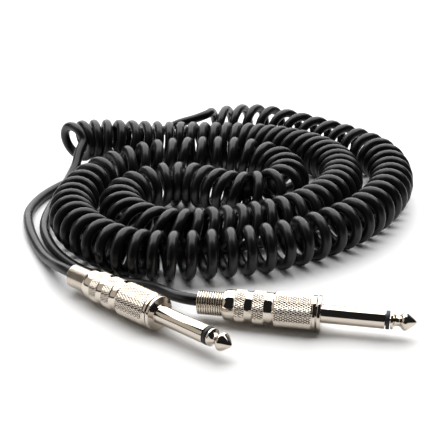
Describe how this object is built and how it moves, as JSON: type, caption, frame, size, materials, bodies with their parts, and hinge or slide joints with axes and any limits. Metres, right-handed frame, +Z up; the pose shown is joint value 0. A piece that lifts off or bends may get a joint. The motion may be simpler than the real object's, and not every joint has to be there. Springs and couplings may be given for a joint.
{
  "type": "curly instrument cable",
  "caption": "Coiled instrument cable lying in a loose flat spiral, with a straight quarter-inch jack plug on each end.",
  "frame": {"origin": "on the table top, under the middle of the box of the two plugs", "axes": "+Z up; +X from the first plug towards the second; +Y away from the plugs, towards the coil"},
  "size_m": [0.1647, 0.2123, 0.0231],
  "materials": {
    "nickel": "polished nickel plate with knurled bands",
    "tinned_brass": "tinned stamped brass",
    "black_plastic": "black moulded insulator",
    "jacket": "satin black PVC cable jacket",
    "red_insulation": "red core insulation",
    "copper": "twisted bare copper shield strands",
    "solder": "dull grey solder"
  },
  "bodies": {
    "root": {"plug_1_tip_contact": "nickel", "plug_1_tip_insulator": "black_plastic", "plug_1_sleeve": "nickel", "plug_1_ground_terminal": "tinned_brass", "plug_1_terminal_washer": "black_plastic", "plug_1_tip_terminal": "tinned_brass", "plug_1_core_wire": "red_insulation", "plug_1_shield_pigtail": "copper", "plug_1_tip_solder": "solder", "plug_1_ground_solder": "solder", "plug_2_tip_contact": "nickel", "plug_2_tip_insulator": "black_plastic", "plug_2_sleeve": "nickel", "plug_2_ground_terminal": "tinned_brass", "plug_2_terminal_washer": "black_plastic", "plug_2_tip_terminal": "tinned_brass", "plug_2_core_wire": "red_insulation", "plug_2_shield_pigtail": "copper", "plug_2_tip_solder": "solder", "plug_2_ground_solder": "solder", "lead_a": "jacket", "curly_section": "jacket", "lead_b": "jacket"},
    "plug_1_liner_body": {"plug_1_liner": "black_plastic"},
    "plug_1_barrel_body": {"plug_1_barrel": "nickel", "plug_1_strain_relief_spring": "nickel"},
    "plug_2_liner_body": {"plug_2_liner": "black_plastic"},
    "plug_2_barrel_body": {"plug_2_barrel": "nickel", "plug_2_strain_relief_spring": "nickel"}
  },
  "joints": [
    {"name": "plug_1_barrel_slide", "type": "slide", "parent": "root", "child": "plug_1_liner_body", "axis": [-0.7585, 0.6517, 0], "range_m": [0, 0.00375]},
    {"name": "plug_1_barrel_unscrew", "type": "hinge", "parent": "plug_1_liner_body", "child": "plug_1_barrel_body", "pos_m": [-0.02516, -0.00517, 0.00615], "axis": [-0.7585, 0.6517, 0], "range_deg": [0, 1800]},
    {"name": "plug_2_barrel_slide", "type": "slide", "parent": "root", "child": "plug_2_liner_body", "axis": [-0.9818, 0.1898, 0], "range_m": [0, 0.00375]},
    {"name": "plug_2_barrel_unscrew", "type": "hinge", "parent": "plug_2_liner_body", "child": "plug_2_barrel_body", "pos_m": [0.02954, -0.00515, 0.00615], "axis": [-0.9818, 0.1898, 0], "range_deg": [0, 1800]}
  ],
  "couplings": [
    {"joint": "plug_1_barrel_slide", "follows": "plug_1_barrel_unscrew", "m_per_rad": 0.00011937},
    {"joint": "plug_2_barrel_slide", "follows": "plug_2_barrel_unscrew", "m_per_rad": 0.00011937}
  ]
}
